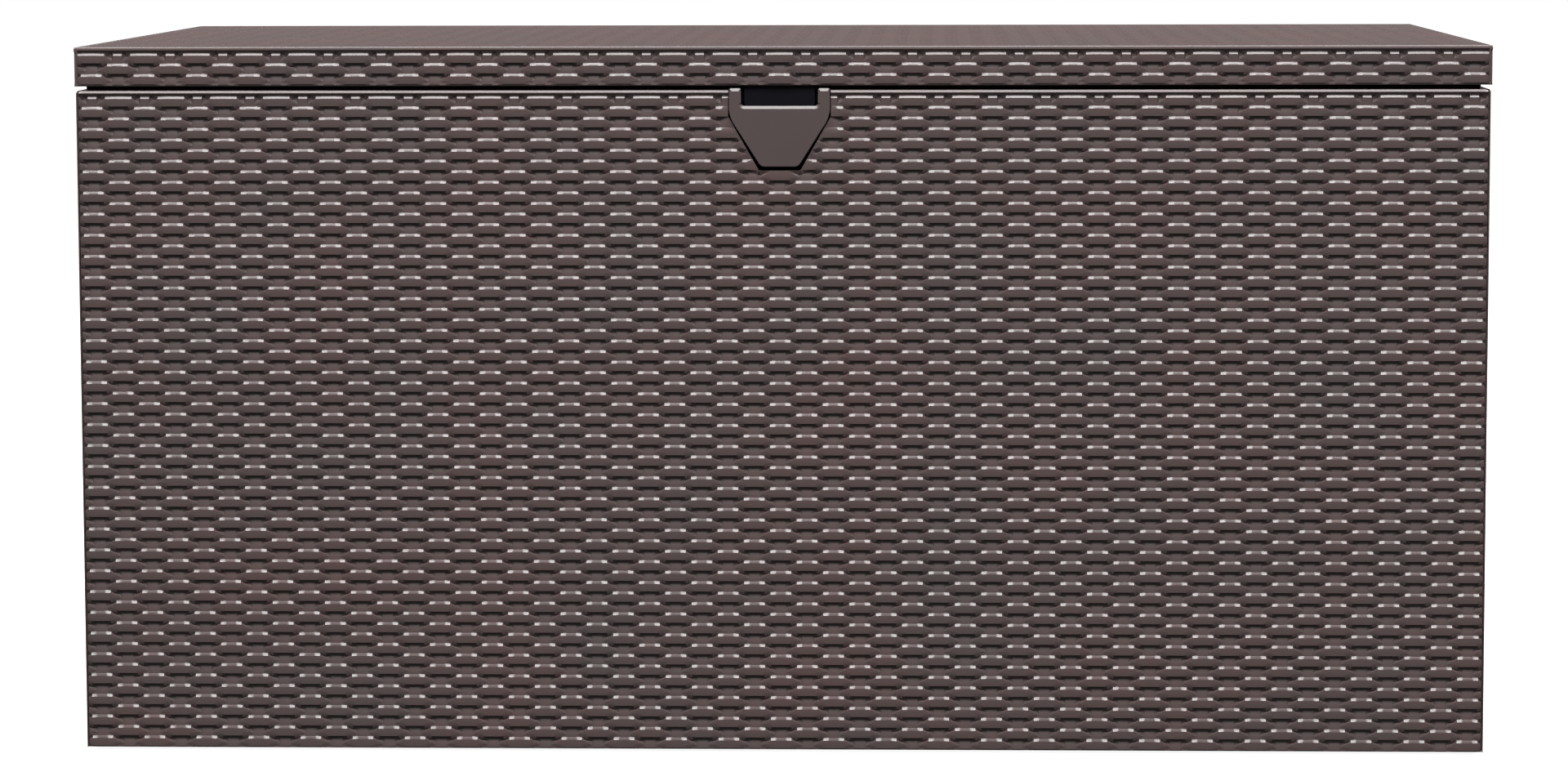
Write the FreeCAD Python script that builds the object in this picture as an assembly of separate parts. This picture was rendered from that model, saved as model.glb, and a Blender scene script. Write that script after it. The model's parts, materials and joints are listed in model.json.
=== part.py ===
"""Deck storage box: ribbed resin wall panels with a moulded wicker look, a hinged lid held by two
slotted stays, and a shield-shaped finger plate in the middle of the front.

Millimetres. +Z is up, the front faces -Y, and the origin is the middle of the footprint on the floor.
"""
import FreeCAD
import Part
import math
import os

# ---- driving dimensions -------------------------------------------------------------------------
WIDTH = 1290.0             # over the lid, along X
DEPTH = 700.0              # front of the lid to the back of the hinge barrels
HEIGHT = 651.0             # floor to lid top
LID_HEIGHT = 34.5          # the lid's skirt
LID_GAP = 5.5              # open line between wall tops and skirt
LID_OVERHANG = 1.0         # lid past the walls, each side
FLOOR_GAP = 3.0            # walls end this far above the ground
SKIN = 4.0                 # wall panel skin
LID_SKIN = 3.0             # lid shell skin
EDGE_RADIUS = 3.0          # rounding of wall tops and lid edges

# ---- wall panels --------------------------------------------------------------------------------
RIB_DEPTH = 12.0
RIB_THICK = 3.0
RIB_PITCH = 97.0
RIB_CLEAR_OF_CORNER = 45.0
RIB_TOP_DROP = 11.0        # ribs stop this far below the wall tops
FLANGE_THICK = 4.0
BOTTOM_FLANGE_RISE = 7.0   # underside of the bottom flange above the wall's lower edge
BOSS_HEIGHT = 42.0
BOSS_WIDTH = 64.0

# ---- floor --------------------------------------------------------------------------------------
FLOOR_THICK = 4.0
FLOOR_RIB_THICK = 3.0
FLOOR_RIBS_ALONG = 5
FLOOR_RIBS_ACROSS = 9
FOOT_HEIGHT = 4.0
FOOT_RADIUS = 22.0
FOOT_INSET = 90.0

# ---- corner posts -------------------------------------------------------------------------------
POST_LEG = 35.0
POST_THICK = 3.0
SCREW_RADIUS = 2.0
SCREW_HEAD_RADIUS = 4.0
SCREW_HEAD_THICK = 2.0
SCREW_BITE = 1.8           # how far a screw goes into the liner, floor or tongue block
POST_SCREW_BITE = 0.7      # how far a post screw goes into the woven wall's skin
POST_SCREW_ROWS = 4

# ---- neck frame ---------------------------------------------------------------------------------
NECK_INSET = 8.0
NECK_THICK = 4.0
NECK_CORNER = 4.0
NECK_IN_LID = 7.5          # how far the neck rises into the lid

# ---- lid inside ---------------------------------------------------------------------------------
BUMPER_THICK = 3.0
BUMPER_RADIUS = 1.9
LINER_THICK = 2.5
BAR_WIDTH = 20.0
BAR_WALL = 1.5
BAR_END_GAP = 12.0
BAR_SIDE_INSET = 110.0
LINER_SCREWS_PER_BAR = 4

# ---- finger plate and latch ---------------------------------------------------------------------
PLATE_WIDTH = 92.0
PLATE_RISE = 1.5           # plate ears above the wall tops
PLATE_SIDE = 25.5          # straight side of the plate
PLATE_SLOPE = 45.8         # height of its sloping part
PLATE_FOOT = 34.0          # width of its flat bottom
PLATE_THICK = 3.4
PLATE_PROUD = 1.0
NOTCH_WIDTH = 70.0
NOTCH_DEPTH = 16.1
PLATE_CORNER = 3.0
CUTOUT_SIDE_GAP = 2.2
CUTOUT_FOOT_GAP = 3.6
TONGUE_WIDTH = 64.0
TONGUE_THICK = 3.0
TONGUE_GAP = 1.0
TONGUE_DROP = 23.0         # tongue end below the wall tops
TONGUE_FLANGE = 24.0
HOUSING_WALL = 2.5
HOUSING_DEPTH = 14.0
HOUSING_HEIGHT = 64.0
POST_RADIUS = 5.0

# ---- hinges -------------------------------------------------------------------------------------
HINGE_WIDTH = 90.0
HINGE_SPACING = 450.0
LEAF_THICK = 2.5
LEAF_BODY_DROP = 38.0
LEAF_LID_RISE = 31.0
BARREL_RADIUS = 6.5
BARREL_BEHIND_LID = 0.0    # barrel's nearest point to the lid's back face
HINGE_PIN_RADIUS = 3.0
HINGE_PIN_CLEAR = 0.05
KNUCKLE_GAP = 0.4
LEAF_TO_BARREL_GAP = 0.6

# ---- lid stays ----------------------------------------------------------------------------------
STAY_ARM = 230.0           # pivot to slide pin, and hinge axis to pivot
PIVOT_ANGLE = 1.0          # pivot below the hinge, degrees below level
SLOT_ANGLE = 9.0           # slot's slope when the lid is shut, degrees below level
LID_OPEN = 80.0            # degrees
STAY_THICK = 3.0
STAY_HALF_WIDTH = 9.0
STAY_PIN_RADIUS = 4.0
STAY_PIN_CLEAR = 0.05
STAY_HEAD_RADIUS = 7.0
SLOT_CLEAR = 0.3
SLOT_END_CLEAR = 0.4
TRACK_MARGIN = 13.0
TRACK_FLANGE = 23.0
STAY_COLLAR = 3.5
STAY_SLIP = 0.5
TRACK_TO_ARM = 5.0

# ---- levels and faces worked out from them ------------------------------------------------------
LID_X = WIDTH / 2
LID_FRONT = -DEPTH / 2
HINGE_Y = DEPTH / 2 - BARREL_RADIUS
LID_BACK = HINGE_Y - BARREL_RADIUS - BARREL_BEHIND_LID
WALL_X = LID_X - LID_OVERHANG
WALL_FRONT = LID_FRONT + LID_OVERHANG
WALL_BACK = LID_BACK - LID_OVERHANG
LID_BOTTOM = HEIGHT - LID_HEIGHT
WALL_TOP = LID_BOTTOM - LID_GAP
HINGE_Z = (LID_BOTTOM + WALL_TOP) / 2
RIB_TOP = WALL_TOP - RIB_TOP_DROP
FLOOR_UNDER = FLOOR_GAP + BOTTOM_FLANGE_RISE + FLANGE_THICK
FLOOR_TOP = FLOOR_UNDER + FLOOR_THICK
INNER_X = WALL_X - SKIN
INNER_FRONT = WALL_FRONT + SKIN
INNER_BACK = WALL_BACK - SKIN
NECK_TOP = LID_BOTTOM + NECK_IN_LID
LINER_UNDER = NECK_TOP + BUMPER_THICK
LINER_TOP = LINER_UNDER + LINER_THICK
LID_INNER_TOP = HEIGHT - LID_SKIN
RIB_FACE_X = INNER_X - RIB_DEPTH
PIVOT_Y = HINGE_Y - STAY_ARM * math.cos(math.radians(PIVOT_ANGLE))
PIVOT_Z = HINGE_Z - STAY_ARM * math.sin(math.radians(PIVOT_ANGLE))
BRACKET_FACE_X = RIB_FACE_X - STAY_THICK
ARM_OUTER_X = BRACKET_FACE_X - STAY_COLLAR - STAY_SLIP
ARM_INNER_X = ARM_OUTER_X - STAY_THICK
TRACK_OUTER_X = ARM_INNER_X - TRACK_TO_ARM
TRACK_INNER_X = TRACK_OUTER_X - STAY_THICK
SLIDE_SHUT = 2 * STAY_ARM * math.cos(math.radians(PIVOT_ANGLE - SLOT_ANGLE))
SLIDE_OPEN = 2 * STAY_ARM * math.cos(math.radians(PIVOT_ANGLE - SLOT_ANGLE + LID_OPEN))
SLIDE_FAR = 2 * STAY_ARM   # the pin is furthest out when the arm lines up with the hinge
SLOT_DIRECTION = FreeCAD.Vector(0, -math.cos(math.radians(SLOT_ANGLE)), -math.sin(math.radians(SLOT_ANGLE)))
SLOT_DOWN = FreeCAD.Vector(0, math.sin(math.radians(SLOT_ANGLE)), -math.cos(math.radians(SLOT_ANGLE)))
TONGUE_FRONT = WALL_FRONT - PLATE_PROUD + PLATE_THICK + TONGUE_GAP
TONGUE_BACK = TONGUE_FRONT + TONGUE_THICK
HOUSING_BACK = INNER_FRONT + HOUSING_DEPTH
HOUSING_TOP = RIB_TOP
BOSS_BOTTOM = WALL_TOP - RIB_TOP_DROP - BOSS_HEIGHT
SIDES = {"left": -1, "right": 1}
HINGES = {"left": -HINGE_SPACING, "middle": 0.0, "right": HINGE_SPACING}


# ---- helpers ------------------------------------------------------------------------------------
def block(x0, x1, y0, y1, z0, z1):
    """A box between two corners, in any order."""
    low = FreeCAD.Vector(min(x0, x1), min(y0, y1), min(z0, z1))
    return Part.makeBox(abs(x1 - x0), abs(y1 - y0), abs(z1 - z0), low)


def rod(radius, start, end):
    """A cylinder from one point to another."""
    start = FreeCAD.Vector(*start)
    run = FreeCAD.Vector(*end) - start
    return Part.makeCylinder(radius, run.Length, start, run)


def fused(shapes):
    """All shapes as one solid."""
    shapes = list(shapes)
    whole = shapes[0]
    if len(shapes) > 1:
        whole = whole.fuse(shapes[1:])
    return whole.removeSplitter()


def minus(shape, cutters):
    """A shape with others cut away."""
    return shape.cut(list(cutters)).removeSplitter()


def outline(points):
    """A closed flat face through points."""
    vectors = [FreeCAD.Vector(*point) for point in points]
    return Part.Face(Part.makePolygon(vectors + vectors[:1]))


def mirrored(shape):
    """The same shape on the other side of the box."""
    return shape.mirror(FreeCAD.Vector(), FreeCAD.Vector(1, 0, 0))


def on_side(shape, side):
    """A piece drawn for the right, for either side."""
    return shape if side > 0 else mirrored(shape)


def spread(low, high, count):
    """Evenly spaced places from low to high."""
    return [low + (high - low) * step / (count - 1) for step in range(count)]


def rounded(shape, keep, radius):
    """A shape with the edges that keep() picks rounded."""
    edges = [edge for edge in shape.Edges if keep(edge.BoundBox)]
    return shape.makeFillet(radius, edges)


def export(name, shape):
    """Write one sub-part."""
    shape.exportStep("parts/" + name + ".step")


# ---- floor and feet -----------------------------------------------------------------------------
def foot_places():
    return [(x, y) for x in spread(-WALL_X + FOOT_INSET, WALL_X - FOOT_INSET, 3)
            for y in (WALL_FRONT + FOOT_INSET, WALL_BACK - FOOT_INSET)]


def floor_panel():
    rib_x = INNER_X - RIB_DEPTH - RIB_THICK
    rib_front = INNER_FRONT + RIB_DEPTH + RIB_THICK
    rib_back = INNER_BACK - RIB_DEPTH - RIB_THICK
    solids = [block(-INNER_X, INNER_X, INNER_FRONT, INNER_BACK, FLOOR_UNDER, FLOOR_TOP)]
    for y in spread(rib_front, rib_back - FLOOR_RIB_THICK, FLOOR_RIBS_ALONG):
        solids.append(block(-rib_x, rib_x, y, y + FLOOR_RIB_THICK, FOOT_HEIGHT, FLOOR_UNDER))
    for x in spread(-rib_x, rib_x - FLOOR_RIB_THICK, FLOOR_RIBS_ACROSS):
        solids.append(block(x, x + FLOOR_RIB_THICK, rib_front, rib_back, FOOT_HEIGHT, FLOOR_UNDER))
    for x, y in foot_places():
        solids.append(rod(FOOT_RADIUS, (x, y, FOOT_HEIGHT), (x, y, FLOOR_UNDER)))
    return fused(solids)


def foot_pads():
    return Part.makeCompound([rod(FOOT_RADIUS, (x, y, 0), (x, y, FOOT_HEIGHT)) for x, y in foot_places()])


# ---- wall panels --------------------------------------------------------------------------------
def rib_places(low, high, skip=None):
    """Where the ribs of a wall stand, between its corners and clear of one stretch."""
    low += RIB_CLEAR_OF_CORNER
    high -= RIB_CLEAR_OF_CORNER + RIB_THICK
    count = int((high - low) / RIB_PITCH) + 2
    places = spread(low, high, count)
    if skip:
        places = [place for place in places if place + RIB_THICK < skip[0] or place > skip[1]]
    return places


def long_wall(outer_y, inward, skip=None):
    """The front or back panel: skin, flanges and ribs; inward is the Y direction into the box."""
    inner_y = outer_y + inward * SKIN
    rib_y = inner_y + inward * RIB_DEPTH
    flange_bottom = FLOOR_GAP + BOTTOM_FLANGE_RISE
    top_y = outer_y + inward * NECK_INSET
    skin = block(-WALL_X, WALL_X, outer_y, inner_y, FLOOR_GAP, WALL_TOP)
    skin = rounded(skin, lambda box: box.XLength > WALL_X and box.ZMin > WALL_TOP - 1e-3
                   and abs(box.YMin - outer_y) < 1e-3, EDGE_RADIUS)
    solids = [skin,
              block(-INNER_X, INNER_X, inner_y, top_y, WALL_TOP - FLANGE_THICK, WALL_TOP),
              block(-INNER_X, INNER_X, inner_y, rib_y, flange_bottom, FLOOR_UNDER)]
    for x in rib_places(-INNER_X, INNER_X, skip):
        solids.append(block(x, x + RIB_THICK, inner_y, rib_y, FLOOR_TOP, RIB_TOP))
    return fused(solids)


def shield(half_width, foot_half, top, bottom, depth_from, depth_to):
    """The finger plate's outline as a block: straight sides, then slopes to a short flat foot."""
    corner = WALL_TOP + PLATE_RISE - PLATE_SIDE
    face = outline([(-half_width, depth_from, top), (half_width, depth_from, top),
                    (half_width, depth_from, corner), (foot_half, depth_from, bottom),
                    (-foot_half, depth_from, bottom), (-half_width, depth_from, corner)])
    return face.extrude(FreeCAD.Vector(0, depth_to - depth_from, 0))


def plate_bottom():
    return WALL_TOP + PLATE_RISE - PLATE_SIDE - PLATE_SLOPE


def front_panel():
    half = PLATE_WIDTH / 2 + CUTOUT_SIDE_GAP
    wall = long_wall(WALL_FRONT, 1, (-half - HOUSING_WALL - RIB_THICK, half + HOUSING_WALL + RIB_THICK))
    hole = shield(half, PLATE_FOOT / 2 + CUTOUT_SIDE_GAP, WALL_TOP + 1, plate_bottom() - CUTOUT_FOOT_GAP,
                  WALL_FRONT - 1, INNER_FRONT + 1)
    flange = block(-half, half, INNER_FRONT - 1, WALL_FRONT + NECK_INSET, RIB_TOP, WALL_TOP + 1)
    return minus(wall, [hole, flange] + post_screw_holes())


def back_panel():
    return minus(long_wall(WALL_BACK, -1), post_screw_holes() + hinge_body_screws(0.0))


def side_panel():
    """The right panel; the left one is its mirror image."""
    rib_x = RIB_FACE_X
    skin = block(INNER_X, WALL_X, INNER_FRONT, INNER_BACK, FLOOR_GAP, WALL_TOP)
    skin = rounded(skin, lambda box: box.YLength > DEPTH / 2 and box.ZMin > WALL_TOP - 1e-3
                   and box.XMin > WALL_X - 1e-3, EDGE_RADIUS)
    neck_front, neck_back = WALL_FRONT + NECK_INSET, WALL_BACK - NECK_INSET
    solids = [skin,
              block(WALL_X - NECK_INSET, INNER_X, neck_front, neck_back, WALL_TOP - FLANGE_THICK, WALL_TOP),
              block(rib_x, INNER_X, INNER_FRONT + RIB_DEPTH, INNER_BACK - RIB_DEPTH,
                    FLOOR_GAP + BOTTOM_FLANGE_RISE, FLOOR_UNDER),
              block(rib_x, INNER_X, PIVOT_Y - BOSS_WIDTH / 2, PIVOT_Y + BOSS_WIDTH / 2, BOSS_BOTTOM, RIB_TOP)]
    for y in rib_places(INNER_FRONT, INNER_BACK):
        solids.append(block(rib_x, INNER_X, y, y + RIB_THICK, FLOOR_TOP, RIB_TOP))
    stay_holes = [stay_wall_screw(place, 0.0) for place in stay_screw_places()]
    return minus(fused(solids), post_screw_holes() + stay_holes)


# ---- corner posts and the neck ------------------------------------------------------------------
def corner_post(side, end):
    """An angle post in one inside corner; side is the sign of X, end the sign of Y."""
    corner_x = side * INNER_X
    corner_y = INNER_FRONT if end < 0 else INNER_BACK
    along_x = block(corner_x, corner_x - side * POST_LEG,
                    corner_y, corner_y - end * POST_THICK, FLOOR_TOP, RIB_TOP)
    along_y = block(corner_x, corner_x - side * POST_THICK,
                    corner_y, corner_y - end * POST_LEG, FLOOR_TOP, RIB_TOP)
    return minus(fused([along_x, along_y]), post_screw_holes())


def post_screw_axes():
    """Start (at the post's inner face) and direction of each screw through a post into a wall."""
    axes = []
    middle_of_leg = POST_LEG * 0.6
    for side in (-1, 1):
        for end, corner_y in ((-1, INNER_FRONT), (1, INNER_BACK)):
            for z in spread(FLOOR_TOP + POST_LEG, RIB_TOP - POST_LEG, POST_SCREW_ROWS):
                x = side * (INNER_X - middle_of_leg)
                axes.append(((x, corner_y - end * POST_THICK, z), (0, end, 0)))
                y = corner_y - end * middle_of_leg
                axes.append(((side * (INNER_X - POST_THICK), y, z), (side, 0, 0)))
    return axes


def screw(start, direction, reach, head=True, radius=SCREW_RADIUS):
    """A pan-head screw: its head sits on start and its shank goes along direction."""
    start, direction = FreeCAD.Vector(*start), FreeCAD.Vector(*direction)
    shank = Part.makeCylinder(radius, reach, start, direction)
    if not head:
        return shank
    cap = Part.makeCylinder(SCREW_HEAD_RADIUS, SCREW_HEAD_THICK,
                            start - direction * SCREW_HEAD_THICK, direction)
    return fused([cap, shank])


def post_screw_holes():
    return [screw(start, way, POST_THICK + POST_SCREW_BITE, False) for start, way in post_screw_axes()]


def post_screws():
    length = POST_THICK + POST_SCREW_BITE
    return Part.makeCompound([screw(start, way, length) for start, way in post_screw_axes()])


def neck_frame():
    """The dark upright ring that stands on the ribs and reaches up into the lid."""
    def ring(inset, radius):
        solid = block(-WALL_X + inset, WALL_X - inset, WALL_FRONT + inset, WALL_BACK - inset,
                      RIB_TOP, NECK_TOP)
        return rounded(solid, lambda box: box.ZLength > NECK_IN_LID
                       and box.XLength + box.YLength < 1e-3, radius)
    return minus(ring(NECK_INSET, NECK_CORNER), [ring(NECK_INSET + NECK_THICK, NECK_CORNER / 2)])


# ---- finger plate, its pocket and the lid's tongue ----------------------------------------------
def latch_screw_places():
    low = plate_bottom() + PLATE_SLOPE * 0.25
    high = WALL_TOP + PLATE_RISE - NOTCH_DEPTH - PLATE_SIDE / 2 - POST_RADIUS
    return [(0.0, low), (-PLATE_WIDTH / 4, high), (PLATE_WIDTH / 4, high)]


def latch_screw(place, head=True):
    x, z = place
    length = HOUSING_BACK - (WALL_FRONT - PLATE_PROUD) - PLATE_THICK / 2
    return screw((x, HOUSING_BACK, z), (0, -1, 0), length, head)


def grip_plate():
    front = WALL_FRONT - PLATE_PROUD
    top = WALL_TOP + PLATE_RISE
    plate = shield(PLATE_WIDTH / 2, PLATE_FOOT / 2, top, plate_bottom(), front, front + PLATE_THICK)
    notch = block(-NOTCH_WIDTH / 2, NOTCH_WIDTH / 2, front - 1, front + PLATE_THICK + 1,
                  top - NOTCH_DEPTH, top + PLATE_CORNER + 1)
    notch = rounded(notch, lambda box: box.YLength > PLATE_THICK and box.ZMax < top, PLATE_CORNER)
    return minus(plate, [notch] + [latch_screw(place, False) for place in latch_screw_places()])


def latch_housing():
    """The shallow pocket behind the plate: back, side and bottom walls, and posts that carry the plate."""
    half = PLATE_WIDTH / 2 + CUTOUT_SIDE_GAP + HOUSING_WALL
    bottom = HOUSING_TOP - HOUSING_HEIGHT
    outer = block(-half, half, INNER_FRONT, HOUSING_BACK, bottom, HOUSING_TOP)
    hollow = block(-half + HOUSING_WALL, half - HOUSING_WALL, INNER_FRONT - 1, HOUSING_BACK - HOUSING_WALL,
                   bottom + HOUSING_WALL, HOUSING_TOP + 1)
    posts = [rod(POST_RADIUS, (x, WALL_FRONT - PLATE_PROUD + PLATE_THICK, z), (x, HOUSING_BACK - 1, z))
             for x, z in latch_screw_places()]
    return minus(fused([minus(outer, [hollow])] + posts),
                 [latch_screw(place, False) for place in latch_screw_places()])


def tongue_screw_axes():
    y = TONGUE_BACK + TONGUE_FLANGE * 0.7
    return [(x, y, LINER_UNDER - LINER_THICK) for x in (-TONGUE_WIDTH / 3, TONGUE_WIDTH / 3)]


def latch_tongue():
    """The strip that hangs from the lid into the pocket and fills the plate's notch."""
    half = TONGUE_WIDTH / 2
    strip = block(-half, half, TONGUE_FRONT, TONGUE_BACK, WALL_TOP - TONGUE_DROP, LINER_UNDER)
    flange = block(-half, half, TONGUE_FRONT, TONGUE_BACK + TONGUE_FLANGE,
                   LINER_UNDER - LINER_THICK, LINER_UNDER)
    holes = [screw(at, (0, 0, 1), LINER_THICK, False) for at in tongue_screw_axes()]
    return minus(fused([strip, flange]), holes)


# ---- lid ----------------------------------------------------------------------------------------
def lid_shell():
    outer = block(-LID_X, LID_X, LID_FRONT, LID_BACK, LID_BOTTOM, HEIGHT)
    outer = rounded(outer, lambda box: box.ZMin > HEIGHT - 1e-3, EDGE_RADIUS)
    hollow = block(-LID_X + LID_SKIN, LID_X - LID_SKIN, LID_FRONT + LID_SKIN, LID_BACK - LID_SKIN,
                   LID_BOTTOM - 1, LID_INNER_TOP)
    return minus(outer, [hollow] + hinge_lid_screws(0.0))


def bar_places():
    return dict(zip(("front", "middle", "back"),
                    spread(LID_FRONT + BAR_SIDE_INSET, LID_BACK - BAR_SIDE_INSET, 3)))


def liner_screw_axes():
    end = LID_X - BAR_SIDE_INSET
    across = spread(-end, end, LINER_SCREWS_PER_BAR)
    return [(x, y, LINER_UNDER) for y in bar_places().values() for x in across]


def liner_screws(heads=True):
    return [screw(at, (0, 0, 1), LINER_THICK + BAR_WALL, heads) for at in liner_screw_axes()]


def lid_liner():
    panel = block(-LID_X + LID_SKIN, LID_X - LID_SKIN, LID_FRONT + LID_SKIN, LID_BACK - LID_SKIN,
                  LINER_UNDER, LINER_TOP)
    cutters = liner_screws(False)
    cutters += [screw(at, (0, 0, 1), LINER_THICK + SCREW_BITE, False) for at in tongue_screw_axes()]
    cutters += [on_side(track_screw(y, False), side) for y in track_screw_places() for side in SIDES.values()]
    return minus(panel, cutters)


def lid_bar(y):
    half = LID_X - LID_SKIN - BAR_END_GAP
    outer = block(-half, half, y - BAR_WIDTH / 2, y + BAR_WIDTH / 2, LINER_TOP, LID_INNER_TOP)
    inner = block(-half - 1, half + 1, y - BAR_WIDTH / 2 + BAR_WALL, y + BAR_WIDTH / 2 - BAR_WALL,
                  LINER_TOP + BAR_WALL, LID_INNER_TOP - BAR_WALL)
    return minus(outer, [inner] + liner_screws(False))


def lid_bumpers():
    """Round rubber stops between the liner and the top of the neck."""
    middle = NECK_INSET + NECK_THICK / 2
    x_side, y_front, y_back = WALL_X - middle, WALL_FRONT + middle, WALL_BACK - middle
    places = [(x, y) for x in spread(-x_side * 0.9, x_side * 0.9, 4) for y in (y_front, y_back)]
    places += [(x, y) for x in (-x_side, x_side) for y in spread(y_front * 0.7, y_back * 0.7, 2)]
    return Part.makeCompound([rod(BUMPER_RADIUS, (x, y, NECK_TOP), (x, y, LINER_UNDER)) for x, y in places])


# ---- hinges -------------------------------------------------------------------------------------
def knuckle(x0, x1, bore):
    tube = rod(BARREL_RADIUS, (x0, HINGE_Y, HINGE_Z), (x1, HINGE_Y, HINGE_Z))
    return tube, rod(bore, (x0 - 1, HINGE_Y, HINGE_Z), (x1 + 1, HINGE_Y, HINGE_Z))


def hinge_body_leaf(x):
    """The leaf on the back wall, with the two outer knuckles."""
    third = HINGE_WIDTH / 6
    face = WALL_BACK + LEAF_THICK
    solids = [block(x - 3 * third, x + 3 * third, WALL_BACK, face,
                    WALL_TOP - LEAF_BODY_DROP, HINGE_Z - BARREL_RADIUS - LEAF_TO_BARREL_GAP)]
    bores = hinge_body_screws(0.0)
    inner = third + KNUCKLE_GAP / 2
    for x0, x1 in ((x - 3 * third, x - inner), (x + inner, x + 3 * third)):
        tube, bore = knuckle(x0, x1, HINGE_PIN_RADIUS)
        solids += [tube, block(x0, x1, WALL_BACK, face, WALL_TOP - LEAF_BODY_DROP, HINGE_Z)]
        bores.append(bore)
    return minus(fused(solids), bores)


def hinge_lid_leaf(x):
    """The leaf on the lid's back edge, with the middle knuckle."""
    third = HINGE_WIDTH / 6
    face = LID_BACK + LEAF_THICK
    top = HINGE_Z + LEAF_LID_RISE
    x0, x1 = x - third + KNUCKLE_GAP / 2, x + third - KNUCKLE_GAP / 2
    tube, bore = knuckle(x0, x1, HINGE_PIN_RADIUS + HINGE_PIN_CLEAR)
    plate = block(x - 3 * third, x + 3 * third, LID_BACK, face,
                  HINGE_Z + BARREL_RADIUS + LEAF_TO_BARREL_GAP, top)
    web = block(x0, x1, LID_BACK, face, HINGE_Z, top)
    return minus(fused([plate, tube, web]), [bore] + hinge_lid_screws(0.0))


def hinge_pin(x):
    half = HINGE_WIDTH / 2
    return rod(HINGE_PIN_RADIUS, (x - half, HINGE_Y, HINGE_Z), (x + half, HINGE_Y, HINGE_Z))


def hinge_screws(face_y, z, depth, head):
    start_y = face_y + LEAF_THICK
    steps = (-HINGE_WIDTH / 3, 0.0, HINGE_WIDTH / 3)
    places = [hinge_x + along for hinge_x in HINGES.values() for along in steps]
    return [screw((x, start_y, z), (0, -1, 0), LEAF_THICK + depth, head > 0) for x in places]


def hinge_body_screws(head=1.0):
    return hinge_screws(WALL_BACK, WALL_TOP - LEAF_BODY_DROP * 0.6, SKIN - 1, head)


def hinge_lid_screws(head=1.0):
    return hinge_screws(LID_BACK, HINGE_Z + LEAF_LID_RISE * 0.6, LID_SKIN - 1, head)


# ---- lid stays (drawn for the right side) -------------------------------------------------------
def stay_screw_places():
    drop = BOSS_BOTTOM + BOSS_HEIGHT * 0.4
    return [(PIVOT_Y - BOSS_WIDTH * 0.3, drop), (PIVOT_Y + BOSS_WIDTH * 0.3, drop)]


def stay_wall_screw(place, head=1.0):
    y, z = place
    return screw((BRACKET_FACE_X, y, z), (1, 0, 0), STAY_THICK + RIB_DEPTH * 0.7, head > 0)


def stay_wall_bracket():
    top = PIVOT_Z + STAY_HEAD_RADIUS
    plate = block(BRACKET_FACE_X, RIB_FACE_X,
                  PIVOT_Y - BOSS_WIDTH / 2, PIVOT_Y + BOSS_WIDTH / 2, BOSS_BOTTOM, top)
    plate = rounded(plate, lambda box: box.XLength > STAY_THICK / 2 and box.YLength + box.ZLength < 1e-3,
                    STAY_HEAD_RADIUS)
    hole = rod(STAY_PIN_RADIUS, (BRACKET_FACE_X - 1, PIVOT_Y, PIVOT_Z), (RIB_FACE_X + 1, PIVOT_Y, PIVOT_Z))
    return minus(plate, [hole] + [stay_wall_screw(place, 0.0) for place in stay_screw_places()])


def stay_pivot_pin():
    """Shoulder rivet: head, the arm's bearing, and a collar against the bracket."""
    def part(radius, x0, x1):
        return rod(radius, (x0, PIVOT_Y, PIVOT_Z), (x1, PIVOT_Y, PIVOT_Z))
    head_x = ARM_INNER_X - STAY_SLIP
    return fused([part(STAY_HEAD_RADIUS, head_x - STAY_THICK, head_x),
                  part(STAY_PIN_RADIUS, head_x - 1, RIB_FACE_X),
                  part(STAY_HEAD_RADIUS, BRACKET_FACE_X - STAY_COLLAR, BRACKET_FACE_X)])


def slide_place():
    """The slide pin's centre when the lid is shut."""
    return FreeCAD.Vector(0, HINGE_Y, HINGE_Z) + SLOT_DIRECTION * SLIDE_SHUT


def stay_arm():
    """A flat bar with round ends, from the wall pivot to the slide pin."""
    start = FreeCAD.Vector(0, PIVOT_Y, PIVOT_Z)
    run = slide_place() - start
    bar = Part.makeBox(STAY_THICK, run.Length, 2 * STAY_HALF_WIDTH,
                       FreeCAD.Vector(ARM_INNER_X, 0, -STAY_HALF_WIDTH))
    bar.rotate(FreeCAD.Vector(), FreeCAD.Vector(1, 0, 0), math.degrees(math.atan2(run.z, run.y)))
    bar.translate(start)
    ends = [rod(STAY_HALF_WIDTH, (ARM_INNER_X, at.y, at.z), (ARM_OUTER_X, at.y, at.z))
            for at in (start, start + run)]
    holes = [rod(radius, (ARM_INNER_X - 1, at.y, at.z), (ARM_OUTER_X + 1, at.y, at.z))
             for at, radius in ((start, STAY_PIN_RADIUS + STAY_PIN_CLEAR), (start + run, STAY_PIN_RADIUS))]
    return minus(fused([bar] + ends), holes)


def stay_slide_pin():
    """Riveted in the arm: a collar, the part that runs in the slot, and a head behind the track."""
    at = slide_place()

    def part(radius, x0, x1):
        return rod(radius, (x0, at.y, at.z), (x1, at.y, at.z))
    head_x = TRACK_INNER_X - STAY_SLIP
    return fused([part(STAY_HEAD_RADIUS, head_x - STAY_THICK, head_x),
                  part(STAY_PIN_RADIUS, head_x - 1, ARM_OUTER_X),
                  part(STAY_HEAD_RADIUS, TRACK_OUTER_X + STAY_SLIP, ARM_INNER_X)])


def track_screw_places():
    near, far = HINGE_Y - SLIDE_OPEN, HINGE_Y - SLIDE_FAR
    return spread(near - TRACK_MARGIN, far + TRACK_MARGIN, 3)


def track_screw(y, head=True):
    x = TRACK_OUTER_X - TRACK_FLANGE * 0.6
    return screw((x, y, LINER_UNDER - STAY_THICK), (0, 0, 1), STAY_THICK + SCREW_BITE, head)


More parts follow.
